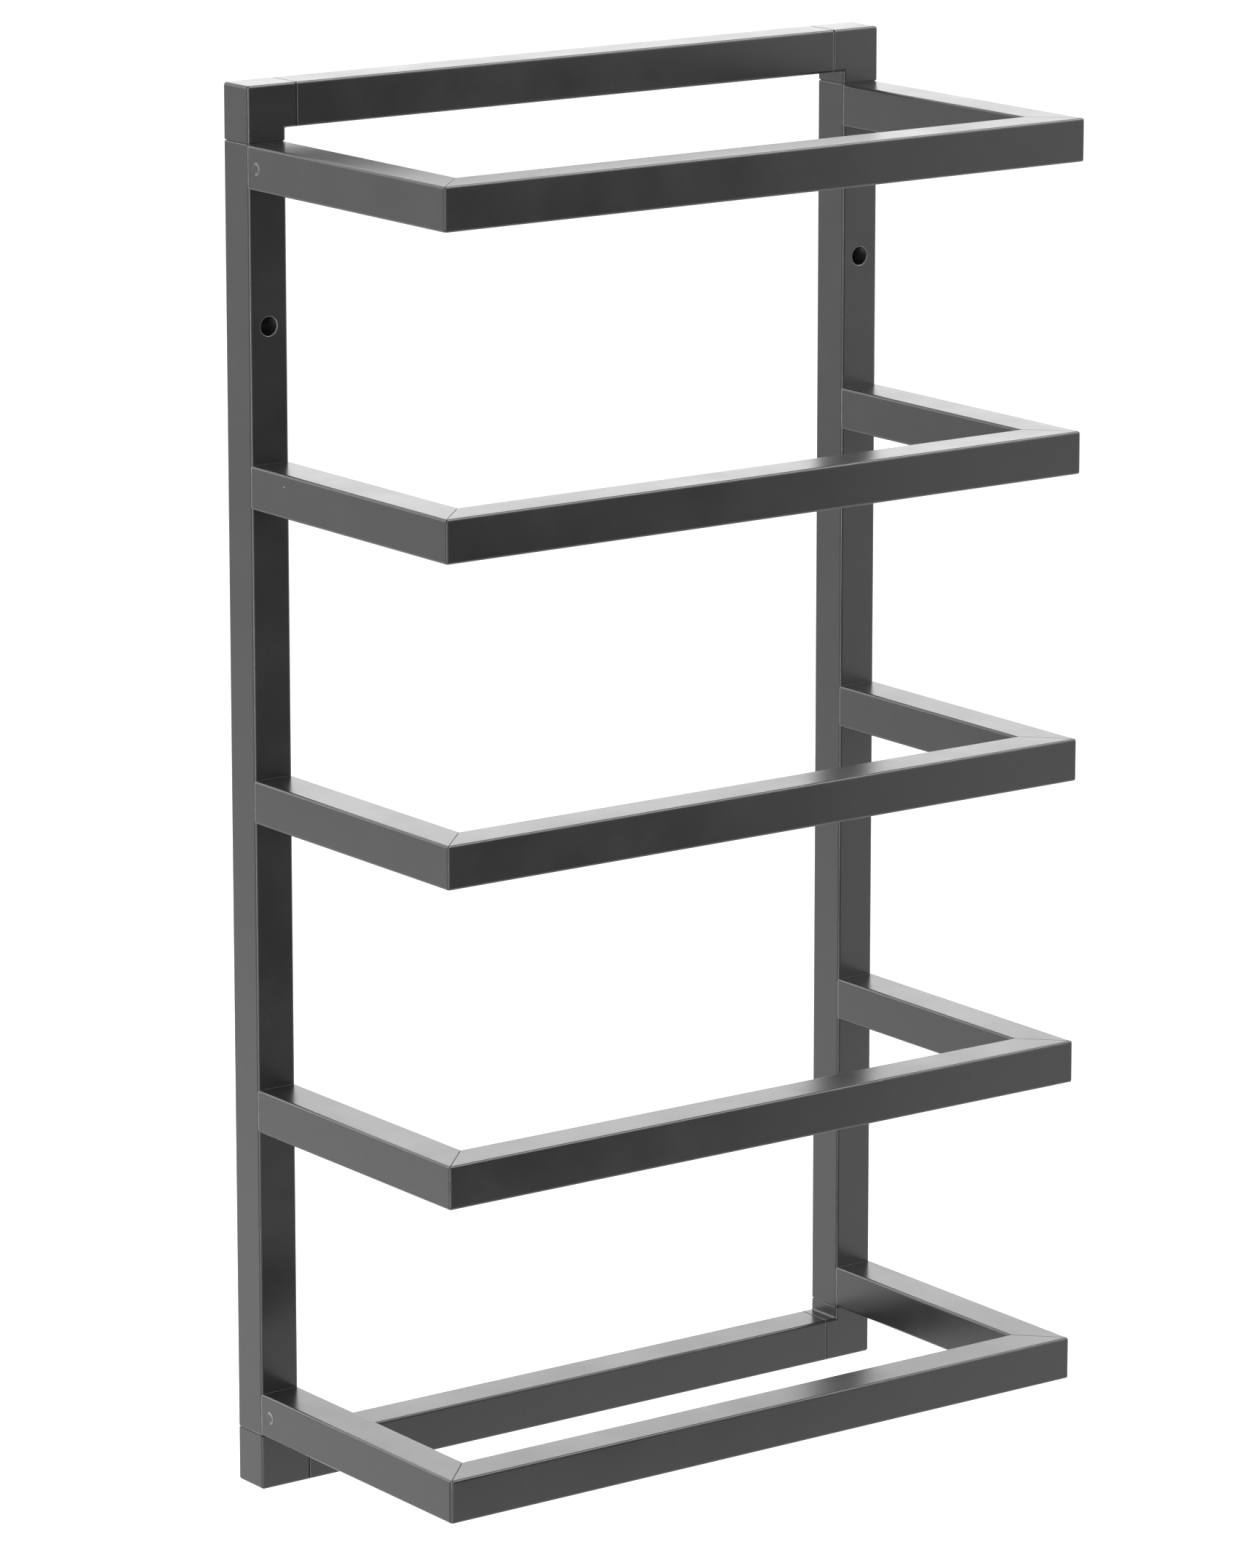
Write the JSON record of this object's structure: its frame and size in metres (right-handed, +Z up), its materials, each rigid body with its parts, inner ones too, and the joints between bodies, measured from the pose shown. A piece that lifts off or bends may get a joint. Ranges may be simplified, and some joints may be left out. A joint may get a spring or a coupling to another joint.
{
  "type": "wall towel rack",
  "caption": "Wall-hung rack of square steel tube with U-shaped tiers that hold rolled towels.",
  "frame": {"origin": "on the wall, midway between the two wall-screw holes", "axes": "+X to the right, -Y out of the wall towards the user, +Z up"},
  "size_m": [0.44, 0.215, 0.81],
  "materials": {
    "tube_paint": "satin black powder coat on square steel tube",
    "cast_paint": "satin black powder coat on cast corner connectors",
    "block_steel": "bare machined steel",
    "screw_steel": "zinc-plated steel"
  },
  "bodies": {
    "root": {"left_post": "tube_paint", "right_post": "tube_paint", "top_crossbar": "tube_paint", "bottom_crossbar": "tube_paint", "corner_top_left": "cast_paint", "corner_top_right": "cast_paint", "corner_bottom_left": "cast_paint", "corner_bottom_right": "cast_paint", "left_arm_1": "tube_paint", "left_arm_2": "tube_paint", "left_arm_3": "tube_paint", "left_arm_4": "tube_paint", "left_arm_5": "tube_paint", "front_bar_1": "tube_paint", "front_bar_2": "tube_paint", "front_bar_3": "tube_paint", "front_bar_4": "tube_paint", "front_bar_5": "tube_paint", "right_arm_1": "tube_paint", "right_arm_2": "tube_paint", "right_arm_3": "tube_paint", "right_arm_4": "tube_paint", "right_arm_5": "tube_paint", "arm_blocks": "block_steel", "arm_screws": "screw_steel"}
  },
  "joints": []
}
